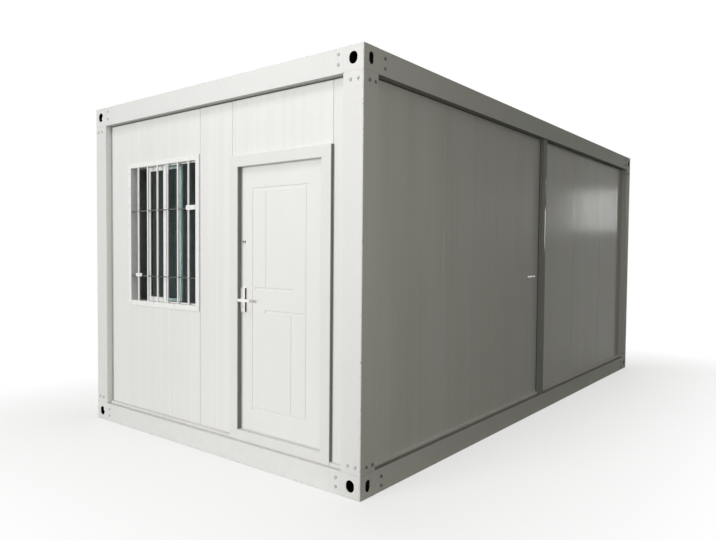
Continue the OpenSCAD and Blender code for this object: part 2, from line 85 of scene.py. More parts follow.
# Bolts at the castings: distances from the cabin's middle on its ends and sides
END_POST_BOLTS = (1.4, 1.458)
END_RAIL_BOLTS = 1.304
SIDE_POST_BOLTS = (2.937, 2.874)
SIDE_RAIL_BOLTS = 2.774
# Levels of these bolts on post and rail, at the bottom and at the top, and their drop on the sides
BOLT_LEVELS = ((0.206, (0.11, 0.05)), (2.594, (2.762, 2.699)))
SIDE_POST_DROP = 0.006
SIDE_RAIL_DROP = 0.01

# Door seals, dark also as painted shade: two corners of the strip on the lock side, and of the one on the
# hinge side
DOOR_SEALS = (
    ((0.348, -2.962, 0.232), (0.351, -2.934, 2.146)),
    ((1.2242, -2.967, 0.182), (1.2272, -2.9452, 2.226)),
)

# Panes: left, right, bottom and top edges, and the outer face
PANES = (
    (-0.567, -0.16, 1.119, 2.231, -2.9155),
    (-0.811, -0.43, 1.145, 2.205, -2.8945),
)
PANE_THICKNESS = 0.005

# Plates that hold the grille: middle, width and height, and the face that they lie on
CLIPS = ((-0.209, 1.878, 0.116, 0.037), (-0.912, 1.329, 0.086, 0.028))
CLIP_FACE = -2.9512
CLIP_THICKNESS = 0.003

# Lock: the line of plates and viewer, levels, half the spacing of plate screws, and faces
LOCK_LINE = 0.38
PLATE_LEVEL = 1.183
PLATE_SCREWS = 0.077
CYLINDER_LEVEL = 1.131
VIEWER_LEVEL = 1.608
LEAF_FACE = -2.937
PLATE_FACES = ((-2.943, TO_FRONT), (-2.87, TO_BACK))
# How far keyways stand off the plates, and the lens off the leaf
KEYWAY_REACH = 0.0037
LENS_REACH = 0.0005

# Hinges: levels, the face of their plates, and rows and columns of screws
HINGE_LEVELS = (0.443, 1.189, 1.935)
HINGE_FACE = -2.8815
HINGE_ROWS = (-0.042, -0.014, 0.014, 0.042)
LEAF_COLUMNS = (1.119, 1.136)
FRAME_COLUMNS = (1.172, 1.189)

# Roof ribs: number, first one, spacing and crest, and the columns of screws
ROOF_RIBS = 11
FIRST_RIB = -2.375
RIB_SPACING = 0.475
RIB_CREST = 2.788
ROOF_COLUMNS = (-1.3, -0.78, -0.26, 0.26, 0.78, 1.3)

# Camera fitted to the photograph: its place, and its turns in degrees
EYE = (3.767, -6.070, 1.546)
YAW = -39.614
PITCH = -2.081
ROLL = 0.386
# Size of the photograph, focal length and optical centre, in pixels
IMAGE_WIDTH = 716
IMAGE_HEIGHT = 540
FOCAL_LENGTH = 627.68
CENTRE_X = 327.27
CENTRE_Y = 273.43
# Width of the camera's sensor in millimetres
SENSOR_WIDTH = 36.0

# Floor: half its size, its drop under the cabin, the share of white beside it and the way to full white
FLOOR_HALF = 45.0
FLOOR_DROP = 0.001
FLOOR_WHITE = 0.65
FLOOR_FADE = 1.8


# Shader helpers


def add(tree, kind, inputs=None, **settings):
    """Adds a shader node, with links or constants on its inputs."""
    node = tree.nodes.new(kind)
    for key, value in settings.items():
        setattr(node, key, value)
    for key, value in (inputs or {}).items():
        socket = node.inputs[key]
        if isinstance(value, bpy.types.NodeSocket):
            tree.links.new(value, socket)
        else:
            socket.default_value = value
    return node


def math_node(tree, operation, first, second=0.0):
    return add(tree, "ShaderNodeMath", {0: first, 1: second}, operation=operation).outputs[0]


def times(tree, *values):
    product = values[0]
    for value in values[1:]:
        product = math_node(tree, "MULTIPLY", product, value)
    return product


def stretch(tree, scale):
    """Object coordinates, scaled along each axis."""
    at = add(tree, "ShaderNodeTexCoord").outputs["Object"]
    return add(tree, "ShaderNodeMapping", {"Vector": at, "Scale": scale}).outputs[0]


def noise(tree, scale, detail=3.0, roughness=0.55, along=(1.0, 1.0, 1.0)):
    inputs = {
        "Vector": stretch(tree, along),
        "Scale": scale,
        "Detail": detail,
        "Roughness": roughness,
    }
    return add(tree, "ShaderNodeTexNoise", inputs).outputs["Fac"]


def spread(tree, value, low, high, out_low=0.0, out_high=1.0):
    """Maps a value from one range to another, with its ends held."""
    inputs = {0: value, 1: low, 2: high, 3: out_low, 4: out_high}
    return add(tree, "ShaderNodeMapRange", inputs).outputs[0]


def between(tree, value, low, high, ease):
    """1 from low to high, eased to 0 outside."""
    return times(tree, spread(tree, value, low - ease, low), spread(tree, value, high + ease, high))


def blend(tree, share, first, second):
    """Goes from the first colour to the second as the share rises from 0 to 1."""
    inputs = {0: share, 6: first, 7: second}
    return add(tree, "ShaderNodeMix", inputs, data_type="RGBA").outputs[2]


def bump(tree, height, strength, distance, under=None):
    """Bumped normal, on top of another one where that is given."""
    inputs = {"Height": height, "Strength": strength, "Distance": distance}
    if under is not None:
        inputs["Normal"] = under
    return add(tree, "ShaderNodeBump", inputs).outputs[0]


def shade(color, factor):
    """Opaque colour, made darker or lighter by a factor."""
    return tuple(channel * factor for channel in color) + (1.0,)


def axis(tree, name):
    """Place along one axis of the cabin's frame."""
    at = add(tree, "ShaderNodeTexCoord").outputs["Object"]
    return add(tree, "ShaderNodeSeparateXYZ", {0: at}).outputs[name]


def facing_along(tree, sign):
    """1 on faces that look up (sign 1) or down (sign -1), 0 on the others."""
    normal = add(tree, "ShaderNodeNewGeometry").outputs["Normal"]
    up = add(tree, "ShaderNodeSeparateXYZ", {0: normal}).outputs["Z"]
    return spread(tree, up, sign * 0.6, sign * 0.95)


def beyond(tree, name, low, high):
    """Rises from 0 to 1 as the distance from the middle along an axis goes from low to high."""
    return spread(tree, math_node(tree, "ABSOLUTE", axis(tree, name)), low, high)


def box_offsets(tree):
    """Distance from the middle of the cabin's box along each axis, with the half size there."""
    offsets = []
    for name, half, middle in BOX:
        away = math_node(tree, "SUBTRACT", axis(tree, name), middle)
        offsets.append((math_node(tree, "ABSOLUTE", away), half))
    return offsets


def edge_distance(tree):
    """Distance from a point on the cabin's outer faces to the nearest edge of its box."""
    gaps = [math_node(tree, "SUBTRACT", half, offset) for offset, half in box_offsets(tree)]
    total = math_node(tree, "ADD", math_node(tree, "ADD", gaps[0], gaps[1]), gaps[2])
    largest = math_node(tree, "MAXIMUM", math_node(tree, "MAXIMUM", gaps[0], gaps[1]), gaps[2])
    return math_node(tree, "SUBTRACT", total, largest)


def inside_casting(tree):
    """1 inside the hollow of a corner casting, 0 on its outer faces."""
    wall = 0.003
    ease = 0.002
    deep = [spread(tree, offset, half - wall, half - wall - ease) for offset, half in box_offsets(tree)]
    return math_node(tree, "MINIMUM", math_node(tree, "MINIMUM", deep[0], deep[1]), deep[2])


def crevice(tree, distance):
    """1 deep in joints and inner corners, 0 on open faces."""
    open_share = add(tree, "ShaderNodeAmbientOcclusion", {"Distance": distance}, samples=6)
    return spread(tree, open_share.outputs["AO"], 0.75, 0.25)


def seen(tree):
    """1 for camera, glossy and transmission rays, 0 for the rest."""
    path = add(tree, "ShaderNodeLightPath").outputs
    direct = math_node(tree, "MAXIMUM", path["Is Camera Ray"], path["Is Glossy Ray"])
    return math_node(tree, "MAXIMUM", direct, path["Is Transmission Ray"])


def new_material(name):
    material = bpy.data.materials.new(name)
    material.use_nodes = True
    tree = material.node_tree
    tree.nodes.clear()
    return material, tree


def finish_material(tree, inputs):
    shader = add(tree, "ShaderNodeBsdfPrincipled", inputs)
    add(tree, "ShaderNodeOutputMaterial", {"Surface": shader.outputs[0]})


# Materials


def weathered(tree, color, foot, dust, joints, under):
    """Paint tone with unevenness, rain streaks, foot grime, dust, and painted shade on undersides and in
    joints.
    """
    grime_color = (0.43, 0.41, 0.36, 1.0)
    dust_color = (0.5, 0.48, 0.43, 1.0)
    underside_shade_color = (0.24, 0.24, 0.21, 1.0)
    joint_shade_color = (0.2, 0.2, 0.18, 1.0)
    grime_height = 0.34
    base = blend(tree, noise(tree, 1.1, 4.0), shade(color, 0.955), shade(color, 1.02))
    streaks = noise(tree, 9.0, 3.0, along=(1.0, 1.0, 0.06))
    base = blend(tree, spread(tree, streaks, 0.5, 0.8, 0.0, 0.12), base, shade(color, 0.84))
    low = spread(tree, axis(tree, "Z"), grime_height, 0.0)
    splash = spread(tree, noise(tree, 14.0, 5.0), 0.35, 0.75)
    base = blend(tree, times(tree, low, splash, foot), base, grime_color)
    speckle = spread(tree, noise(tree, 30.0, 4.0), 0.3, 0.7, 0.3, 1.0)
    settled = times(tree, facing_along(tree, 1), speckle, dust)
    base = blend(tree, settled, base, dust_color)
    # Painted shade: faces that look down are darkened
    base = blend(tree, times(tree, facing_along(tree, -1), under), base, underside_shade_color)
    # Painted shade: ambient occlusion darkens joints and inner corners
    return blend(tree, times(tree, crevice(tree, 0.02), joints), base, joint_shade_color)


def frame_paint(name="frame_paint", tone=1.0, hollow=False, scraped=False, dust=0.35, under=0.85):
    """Frame paint, with painted shade on side ledges and in castings (hollow), and bare in a strip on
    posts (scraped).
    """
    ledge_shadow_color = (0.13, 0.125, 0.105, 1.0)
    chip_color = (0.3, 0.285, 0.26, 1.0)
    hollow_shade_color = (0.012, 0.012, 0.011, 1.0)
    bare_color = (0.86, 0.86, 0.84, 1.0)
    material, tree = new_material(name)
    peel = bump(tree, noise(tree, 260.0, 2.0), 0.08, 0.0006)
    wave = bump(tree, noise(tree, 5.0, 2.0), 0.12, 0.004, peel)
    color = tuple(tone * channel for channel in (0.78, 0.783, 0.772))
    base = weathered(tree, color, foot=0.14, dust=dust, joints=0.2, under=under)
    # Painted shadow on the bottom rail's top faces along the side walls
    outside_walls = beyond(tree, "X", 1.43, 1.44)
    on_bottom_rail = spread(tree, axis(tree, "Z"), 0.169, 0.165)
    shaded_ledge = times(tree, facing_along(tree, 1), outside_walls, on_bottom_rail)
    base = blend(tree, times(tree, shaded_ledge, 0.8), base, ledge_shadow_color)
    rubbed = spread(tree, edge_distance(tree), 0.018, 0.002)
    chips = spread(tree, noise(tree, 34.0, 6.0, 0.7), 0.57, 0.62)
    base = blend(tree, times(tree, rubbed, chips, 0.75), base, chip_color)
    if hollow:
        # Painted shade: the hollow inside a casting is near black
        base = blend(tree, inside_casting(tree), base, hollow_shade_color)
    bare = 0.0
    if scraped:
        on_right = spread(tree, axis(tree, "X"), 1.4, 1.45)
        along = between(tree, axis(tree, "Y"), *SCRAPE_ALONG, 0.002)
        level = between(tree, axis(tree, "Z"), *SCRAPE_LEVEL, 0.08)
        broken = spread(tree, noise(tree, 16.0, 4.0, along=(1.0, 1.0, 0.3)), 0.4, 0.52)
        bare = times(tree, on_right, along, level, broken)
        base = blend(tree, bare, base, bare_color)
    surface = {
        "Base Color": base,
        "Metallic": bare,
        "Roughness": spread(tree, noise(tree, 6.0, 4.0), 0.3, 0.7, 0.44, 0.58),
        "Specular IOR Level": 0.05,
        "Normal": wave,
    }
    finish_material(tree, surface)
    return material


def panel_paint(name="panel_paint", ribbed=True):
    """Prepainted sheet: ribbed on the walls, with a warm streaky tint and a scuff on the right one, plain
    on the door.
    """
    right_wall_tint_color = (0.64, 0.58, 0.49, 1.0)
    bare_color = (0.8, 0.8, 0.78, 1.0)
    material, tree = new_material(name)
    color = (0.82, 0.823, 0.811)
    # Shares of painted shade in joints and on undersides
    joints, under = (0.3, 0.85) if ribbed else (0.05, 0.1)
    outside = weathered(tree, color, foot=0.1, dust=0.3, joints=joints, under=under)
    normal = bump(tree, noise(tree, 240.0, 2.0), 0.06, 0.0005)
    bare = 0.0
    if ribbed:
        bands = noise(tree, 30.0, 1.0, along=(1.0, 1.0, 0.004))
        outside = blend(tree, spread(tree, bands, 0.35, 0.65, 0.0, 0.15), outside, shade(color, 0.78))
        # A warmer, darker streaky tint on the right wall
        right_wall_tint = spread(tree, noise(tree, 3.5, 1.0, along=(1.0, 1.0, 0.12)), 0.35, 0.7, 0.0, 0.24)
        right_wall = spread(tree, axis(tree, "X"), 1.41, 1.44)
        outside = blend(tree, times(tree, right_wall_tint, right_wall), outside, right_wall_tint_color)
        right_face = spread(tree, axis(tree, "X"), 1.44, 1.444)
        along = between(tree, axis(tree, "Y"), *SCUFF_ALONG, 0.03)
        level = between(tree, axis(tree, "Z"), *SCUFF_LEVEL, 0.004)
        broken = spread(tree, noise(tree, 45.0, 4.0), 0.4, 0.52)
        bare = times(tree, right_face, along, level, broken)
        outside = blend(tree, bare, outside, bare_color)
        across = math_node(tree, "ADD", axis(tree, "X"), axis(tree, "Y"))
        row = add(tree, "ShaderNodeCombineXYZ", {"X": across}).outputs[0]
        ribs = add(tree, "ShaderNodeTexWave", {"Vector": row, "Scale": 12.5}, wave_profile="SIN")
        normal = bump(tree, ribs.outputs["Fac"], 0.07, 0.0008, normal)
    # The front half of the cabin is duller than the back half
    dulled = spread(tree, axis(tree, "Y"), 0.05, -0.05, 0.0, 0.15)
    gloss = spread(tree, noise(tree, 2.0, 2.0), 0.3, 0.7, 0.15, 0.19)
    surface = {
        "Base Color": outside,
        "Metallic": bare,
        "Roughness": math_node(tree, "ADD", gloss, dulled),
        "Specular IOR Level": 0.037,
        "Normal": bump(tree, noise(tree, 1.3, 1.0, along=(1.0, 1.0, 0.35)), 0.1, 0.01, normal),
    }
    finish_material(tree, surface)
    return material


def galvanised():
    """Zinc with crystal facets and dull stains."""
    dark_facet = (0.46, 0.48, 0.5, 1.0)
    pale_facet = (0.62, 0.64, 0.66, 1.0)
    stain_color = (0.36, 0.35, 0.33, 1.0)
    material, tree = new_material("galvanised")
    place = stretch(tree, (1.0, 1.0, 1.0))
    cells = add(tree, "ShaderNodeTexVoronoi", {"Vector": place, "Scale": 55.0})
    facets = add(tree, "ShaderNodeSeparateColor", {0: cells.outputs["Color"]}).outputs[0]
    base = blend(tree, facets, dark_facet, pale_facet)
    stain = spread(tree, noise(tree, 1.6, 5.0), 0.45, 0.75, 0.0, 0.5)
    surface = {
        "Base Color": blend(tree, stain, base, stain_color),
        "Metallic": 0.5,
        "Roughness": spread(tree, facets, 0.0, 1.0, 0.52, 0.68),
        "Normal": bump(tree, noise(tree, 3.0, 3.0), 0.2, 0.01),
    }
    finish_material(tree, surface)
    return material


def deck_board():
    """Floor board of pressed flakes, worn paler in patches."""
    dark_flake = (0.17, 0.155, 0.14, 1.0)
    pale_flake = (0.3, 0.275, 0.25, 1.0)
    worn_color = (0.36, 0.34, 0.31, 1.0)
    material, tree = new_material("deck_board")
    flakes = noise(tree, 40.0, 6.0, 0.7)
    base = blend(tree, spread(tree, flakes, 0.35, 0.65), dark_flake, pale_flake)
    worn = spread(tree, noise(tree, 1.4, 4.0), 0.5, 0.75, 0.0, 0.4)
    surface = {
        "Base Color": blend(tree, worn, base, worn_color),
        "Roughness": spread(tree, flakes, 0.3, 0.7, 0.5, 0.7),
        "Normal": bump(tree, flakes, 0.2, 0.0015),
    }
    finish_material(tree, surface)
    return material


def white_plastic():
    """White plastic with painted shade in joints and inner corners, and dust on faces that look up."""
    joint_shade_color = (0.25, 0.25, 0.23, 1.0)
    dust_color = (0.5, 0.48, 0.44, 1.0)
    material, tree = new_material("white_plastic")
    color = (0.86, 0.865, 0.85)
    base = blend(tree, noise(tree, 3.0, 4.0), shade(color, 0.96), shade(color, 1.0))
    # Painted shade: ambient occlusion darkens joints and inner corners
    base = blend(tree, times(tree, crevice(tree, 0.012), 0.55), base, joint_shade_color)
    speckle = spread(tree, noise(tree, 40.0, 4.0), 0.35, 0.7, 0.1, 0.4)
    dust = times(tree, facing_along(tree, 1), speckle)
    surface = {
        "Base Color": blend(tree, dust, base, dust_color),
        "Roughness": spread(tree, noise(tree, 18.0, 3.0), 0.3, 0.7, 0.24, 0.34),
        "Normal": bump(tree, noise(tree, 120.0, 2.0), 0.05, 0.0005),
    }
    finish_material(tree, surface)
    return material


def window_glass():
    """Tinted glass with faint smears."""
    clear_tint = (0.66, 0.77, 0.77, 1.0)
    smear_tint = (0.72, 0.82, 0.82, 1.0)
    material, tree = new_material("window_glass")
    smear = spread(tree, noise(tree, 5.0, 5.0, along=(1.0, 1.0, 0.5)), 0.45, 0.8)
    surface = {
        "Base Color": blend(tree, smear, clear_tint, smear_tint),
        "Roughness": spread(tree, smear, 0.0, 1.0, 0.0, 0.04),
        "Transmission Weight": 1.0,
        "IOR": 1.14,
    }
    finish_material(tree, surface)
    return material


def bar_paint():
    """Paint of the window bars, worn in spots, with a line of painted shade along the cross bars."""
    worn_color = (0.42, 0.41, 0.38, 1.0)
    cross_bar_shade_color = (0.09, 0.09, 0.085, 1.0)
    material, tree = new_material("bar_paint")
    color = (0.91, 0.915, 0.905)
    base = blend(tree, noise(tree, 12.0, 4.0), shade(color, 0.9), shade(color, 1.03))
    worn = spread(tree, noise(tree, 60.0, 5.0), 0.62, 0.72, 0.0, 0.35)
    base = blend(tree, worn, base, worn_color)
    level = axis(tree, "Z")
    gaps = [math_node(tree, "ABSOLUTE", math_node(tree, "SUBTRACT", level, z)) for z in CROSS_BARS]
    near = math_node(tree, "MINIMUM", gaps[0], gaps[1])
    behind = spread(tree, axis(tree, "Y"), *DARK_DEPTHS)
    # Painted shade: a dark line on the cross bars where they lie behind the uprights
    dark = times(tree, math_node(tree, "LESS_THAN", near, DARK_LINE), behind)
    surface = {
        "Base Color": blend(tree, dark, base, cross_bar_shade_color),
        "Roughness": spread(tree, noise(tree, 25.0, 3.0), 0.3, 0.7, 0.22, 0.36),
        "Normal": bump(tree, noise(tree, 150.0, 2.0), 0.1, 0.0006),
    }
    finish_material(tree, surface)
    return material


def hardware(name="hardware", shaded_sides=False):
    """Brushed steel with painted shade in crevices and, where asked for, on faces that look sideways."""
    dark_grain = (0.88, 0.87, 0.835, 1.0)
    pale_grain = (0.98, 0.97, 0.94, 1.0)
    side_shade_color = (0.06, 0.06, 0.055, 1.0)
    crevice_shade_color = (0.1, 0.1, 0.09, 1.0)
    material, tree = new_material(name)
    grain = noise(tree, 90.0, 4.0, along=(1.0, 1.0, 9.0))
    base = blend(tree, grain, dark_grain, pale_grain)
    if shaded_sides:
        normal = add(tree, "ShaderNodeTexCoord").outputs["Normal"]
        across = add(tree, "ShaderNodeSeparateXYZ", {0: normal}).outputs["X"]
        sideways = math_node(tree, "ABSOLUTE", across)
        # Painted shade on the faces that look sideways
        base = blend(tree, spread(tree, sideways, 0.55, 0.85), base, side_shade_color)
    surface = {
        # Painted shade from ambient occlusion in crevices
        "Base Color": blend(tree, times(tree, crevice(tree, 0.006), 0.6), base, crevice_shade_color),
        "Metallic": 0.6,
        "Roughness": spread(tree, grain, 0.3, 0.7, 0.3, 0.46),
        "Normal": bump(tree, grain, 0.08, 0.0004),
    }
    finish_material(tree, surface)
    return material


def bolt_steel(name, color):
    """Steel of a given tone, with spots of rust."""
    rust_color = (0.22, 0.16, 0.11, 1.0)
    material, tree = new_material(name)
    patch = noise(tree, 70.0, 4.0)
    base = blend(tree, patch, shade(color, 0.85), shade(color, 1.15))
    rust = spread(tree, noise(tree, 35.0, 5.0), 0.62, 0.75, 0.0, 0.4)
    surface = {
        "Base Color": blend(tree, rust, base, rust_color),
        "Metallic": 0.2,
        "Roughness": spread(tree, patch, 0.3, 0.7, 0.28, 0.42),
        "Normal": bump(tree, patch, 0.1, 0.0005),
    }
    finish_material(tree, surface)
    return material


def rubber(name, color):
    """Dull rubber of a given tone, with a fine grain."""
    material, tree = new_material(name)
    grain = noise(tree, 200.0, 3.0)
    surface = {
        "Base Color": blend(tree, grain, shade(color, 0.8), shade(color, 1.2)),
        "Roughness": spread(tree, grain, 0.3, 0.7, 0.55, 0.75),
        "Normal": bump(tree, grain, 0.15, 0.0005),
    }
    finish_material(tree, surface)
    return material


# Geometry helpers


class Pieces:
    """Collects small solids into the points and faces of one mesh."""

    def __init__(self):
        self.points = []
        self.faces = []

    def ring_solid(self, rings, place):
        """Closed solid through rings of equal length, each a list of local points."""
        first = len(self.points)
        count = len(rings[0])
        for ring in rings:
            self.points.extend(place @ Vector(point) for point in ring)
        self.faces.append([first + i for i in range(count)][::-1])
        for step in range(len(rings) - 1):
            low = first + step * count
            for i in range(count):
                j = (i + 1) % count
                self.faces.append([low + i, low + j, low + count + j, low + count + i])
        last = first + (len(rings) - 1) * count
        self.faces.append([last + i for i in range(count)])

    def turned(self, profile, sides, place, turn=0.0):
        """Solid turned about local Z from (radius, height) pairs."""
        rings = []
        for radius, height in profile:
            angles = [turn + 2 * math.pi * i / sides for i in range(sides)]
            rings.append([(radius * math.cos(a), radius * math.sin(a), height) for a in angles])
        self.ring_solid(rings, place)

    def slab(self, outline, thickness, edge, place):
        """Flat plate from a local XY outline, with its upper edge eased."""
        middle = [sum(point[k] for point in outline) / len(outline) for k in (0, 1)]
        half = [max(abs(point[k] - middle[k]) for point in outline) for k in (0, 1)]

        def ring(height, inset):
            share = [(half[k] - inset) / half[k] for k in (0, 1)]
            points = []
            for point in outline:
                x, y = (middle[k] + (point[k] - middle[k]) * share[k] for k in (0, 1))
                points.append((x, y, height))
            return points

        self.ring_solid([ring(0.0, 0.0), ring(thickness - edge, 0.0), ring(thickness, edge)], place)

    def build(self, name, material, body):
        """Makes the object, and says which body it rides on and which slot it has."""
        mesh = bpy.data.meshes.new(name)
        mesh.from_pydata(self.points, [], self.faces)
        mesh.update()
        piece = bpy.data.objects.new(name, mesh)
        bpy.context.scene.collection.objects.link(piece)
        piece.data.materials.append(material)
        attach(piece, body)


def facing(point, outward, up=UPWARD):
    """Placement whose local Z points outward from a surface."""
    z = Vector(outward).normalized()
    x = Vector(up).cross(z).normalized()
    y = z.cross(x)
    turn = Matrix((x, y, z)).transposed().to_4x4()
    return Matrix.Translation(point) @ turn


def rounded(width, height, radius, steps=5):
    """Outline of a rectangle with round corners, about the origin."""
    outline = []
    for corner, (sx, sy) in enumerate(((1, 1), (-1, 1), (-1, -1), (1, -1))):
        for i in range(steps + 1):
            a = math.pi / 2 * (corner + i / steps)
            x = sx * (width / 2 - radius) + radius * math.cos(a)
            y = sy * (height / 2 - radius) + radius * math.sin(a)
            outline.append((x, y))
    return outline


def strip(pieces, low, high, edge=0.0012):
    """Bar between two corners, with its long edges rounded and its ends eased."""
    size = [high[k] - low[k] for k in range(3)]
    middle = [(high[k] + low[k]) / 2 for k in range(3)]
    long = size.index(max(size))
    a, b = [k for k in range(3) if k != long]
    half = size[long] / 2
    radius = min(edge, size[a] / 3, size[b] / 3)
    rings = []
    for along, inset in ((-half, edge), (-half + edge, 0.0), (half - edge, 0.0), (half, edge)):
        outline = []
        for u, v in rounded(size[a] - 2 * inset, size[b] - 2 * inset, radius, 2):
            point = [0.0, 0.0, 0.0]
            point[long], point[a], point[b] = along, u, v
            outline.append(tuple(point))
        rings.append(outline if long != 1 else outline[::-1])
    pieces.ring_solid(rings, Matrix.Translation(middle))


def screw(pieces, place, radius):
    """Domed screw head with a washer rim."""
    profile = [(1.0, 0.0), (1.0, 0.18), (0.86, 0.28), (0.8, 0.5), (0.55, 0.72), (0.2, 0.78)]
    pieces.turned([(r * radius, h * radius) for r, h in profile], 16, place)


def hex_bolt(pieces, place, size=0.88):
    """Washer and hexagon head with a turned crown."""
    washer = [(0.0135, 0.0), (0.0135, 0.002), (0.0128, 0.0027), (0.008, 0.0027)]
    head = [(0.0105, 0.0027), (0.0105, 0.008), (0.0092, 0.0097), (0.005, 0.0102)]
    turn = 0.26
    for profile, sides in ((washer, 24), (head, 6)):
        pieces.turned([(r * size, h * size) for r, h in profile], sides, place, turn)


# Fittings


def frame_bolts(painted, dark):
    """Bolts that join rails and posts at the eight castings: painted on the ends, darker on the sides as
    painted shade.
    """
    ends = Pieces()
    sides = Pieces()
    for post_z, rail_z in BOLT_LEVELS:
        for sx in (-1, 1):
            for sy in (-1, 1):
                face = (0, sy, 0)
                for x in END_POST_BOLTS:
                    hex_bolt(ends, facing((sx * x, sy * HALF_LENGTH, post_z), face))
                for z in rail_z:
                    hex_bolt(ends, facing((sx * END_RAIL_BOLTS, sy * HALF_LENGTH, z), face))
                side = (sx, 0, 0)
                for y in SIDE_POST_BOLTS:
                    hex_bolt(sides, facing((sx * HALF_WIDTH, sy * y, post_z - SIDE_POST_DROP), side))
                for z in rail_z:
                    place = (sx * HALF_WIDTH, sy * SIDE_RAIL_BOLTS, z - SIDE_RAIL_DROP)
                    hex_bolt(sides, facing(place, side))
    ends.build("end_bolts", painted, "cabin")
    sides.build("side_bolts", dark, "cabin")


def roof_screws(material):
    """Screws with sealing washers along the crests of the roof ribs."""
    pieces = Pieces()
    for rib in range(ROOF_RIBS):
        y = FIRST_RIB + rib * RIB_SPACING
        for x in ROOF_COLUMNS:
            hex_bolt(pieces, facing((x, y, RIB_CREST), UPWARD, up=TO_BACK), size=0.7)
    pieces.build("roof_screws", material, "cabin")


def door_seals_and_shade(material):
    """Rubber in the rebate on the lock side and beside the frame on the hinge side, dark also as painted
    shade.
    """
    pieces = Pieces()
    for low, high in DOOR_SEALS:
        strip(pieces, low, high)
    pieces.build("door_seals_and_shade", material, "cabin")


def post_seals_and_shade(material):
    """Black sealant in the corners between the middle posts and the walls, also standing in for the shade
    there.
    """
    pieces = Pieces()
    near_wall, off_wall = 1.4452, 1.4492
    bottom, top = 0.184, 2.63
    flanks = ((-0.0478, -0.0428), (0.0428, 0.0478))
    for sx in (-1, 1):
        left, right = sorted((sx * near_wall, sx * off_wall))
        for low, high in flanks:
            strip(pieces, (left, low, bottom), (right, high, top))
    pieces.build("post_seals_and_shade", material, "cabin")


def pane_gaskets(material):
    """Glazing rubber round the outer and inner faces of both panes."""
    pieces = Pieces()
    width, depth, edge = 0.005, 0.003, 0.0008
    for left, right, low, high, face in PANES:
        for y in (face - depth, face + PANE_THICKNESS):
            for x in (left, right - width):
                strip(pieces, (x, y, low), (x + width, y + depth, high), edge)
            for z in (low, high - width):
                strip(pieces, (left + width, y, z), (right - width, y + depth, z + width), edge)
    pieces.build("pane_gaskets", material, "cabin")


def lock_darks(material):
    """Black keyways in the cylinders as painted shade, and the lens of the viewer."""
    pieces = Pieces()
    keyway = rounded(0.0024, 0.0085, radius=0.001, steps=2)
    for plate, outward in PLATE_FACES:
        y = plate + outward[1] * KEYWAY_REACH
        place = facing((LOCK_LINE, y, CYLINDER_LEVEL), outward)
        pieces.slab(keyway, thickness=0.0008, edge=0.0003, place=place)
    lens = [(0.0076, 0.0), (0.007, 0.0012), (0.005, 0.002), (0.002, 0.0024)]
    pieces.turned(lens, 24, facing((LOCK_LINE, LEAF_FACE - LENS_REACH, VIEWER_LEVEL), TO_FRONT))
    pieces.build("lock_darks", material, "door")


def grille_clips(material):
    """Two plates that hold the grille: over its last bar and over its first one."""
    pieces = Pieces()
    for x, z, width, height in CLIPS:
        place = facing((x, CLIP_FACE, z), TO_FRONT)
        pieces.slab(rounded(width, height, radius=0.006), CLIP_THICKNESS, edge=0.0008, place=place)
        reach = 0.36 * width
        for side in (-1, 1):
            at = (x + side * reach, CLIP_FACE - CLIP_THICKNESS, z)
            screw(pieces, facing(at, TO_FRONT), radius=0.005)
    pieces.build("grille_clips", material, "cabin")


def lock_fittings(material):
    """Key cylinders and screws on both lock plates, and the rim of the viewer."""
    pieces = Pieces()
    barrel = [(0.0095, 0.0), (0.0095, 0.003), (0.0085, 0.0042), (0.006, 0.0042), (0.0055, 0.0034)]
    rim = [(0.012, 0.0), (0.012, 0.0012), (0.0105, 0.0024), (0.0085, 0.0024), (0.0078, 0.0012)]
    for y, outward in PLATE_FACES:
        pieces.turned(barrel, 28, facing((LOCK_LINE, y, CYLINDER_LEVEL), outward))
        for z in (PLATE_LEVEL - PLATE_SCREWS, PLATE_LEVEL + PLATE_SCREWS):
            screw(pieces, facing((LOCK_LINE, y, z), outward), radius=0.0048)
    pieces.turned(rim, 28, facing((LOCK_LINE, LEAF_FACE, VIEWER_LEVEL), TO_FRONT))
    pieces.build("lock_fittings", material, "door")


def hinge_screws(material, name, body, columns):
    """Screws through one side's hinge plates, in two staggered columns."""
    pieces = Pieces()
    for level in HINGE_LEVELS:
        for step, row in enumerate(HINGE_ROWS):
            place = facing((columns[step % 2], HINGE_FACE, level + row), TO_BACK)
            screw(pieces, place, radius=0.004)
    pieces.build(name, material, body)


# Stage


def place_camera():
    """Camera fitted to the photograph's edges."""
    yaw, pitch, roll = (math.radians(angle) for angle in (YAW, PITCH, ROLL))
    flat = math.cos(pitch)
    forward = Vector((math.sin(yaw) * flat, math.cos(yaw) * flat, math.sin(pitch)))
    level = Vector((math.cos(yaw), -math.sin(yaw), 0.0))
    above = level.cross(forward)
    right = math.cos(roll) * level + math.sin(roll) * above
    up = math.cos(roll) * above - math.sin(roll) * level
    lens = bpy.data.cameras.new("camera")
    lens.sensor_width = SENSOR_WIDTH
    lens.lens = FOCAL_LENGTH / IMAGE_WIDTH * SENSOR_WIDTH
    lens.shift_x = (IMAGE_WIDTH / 2 - CENTRE_X) / IMAGE_WIDTH
    lens.shift_y = (CENTRE_Y - IMAGE_HEIGHT / 2) / IMAGE_WIDTH
    camera = bpy.data.objects.new("camera", lens)
    turn = Matrix((right, up, -forward)).transposed().to_4x4()
    camera.matrix_world = Matrix.Translation(EYE) @ turn
    bpy.context.scene.collection.objects.link(camera)
    bpy.context.scene.camera = camera


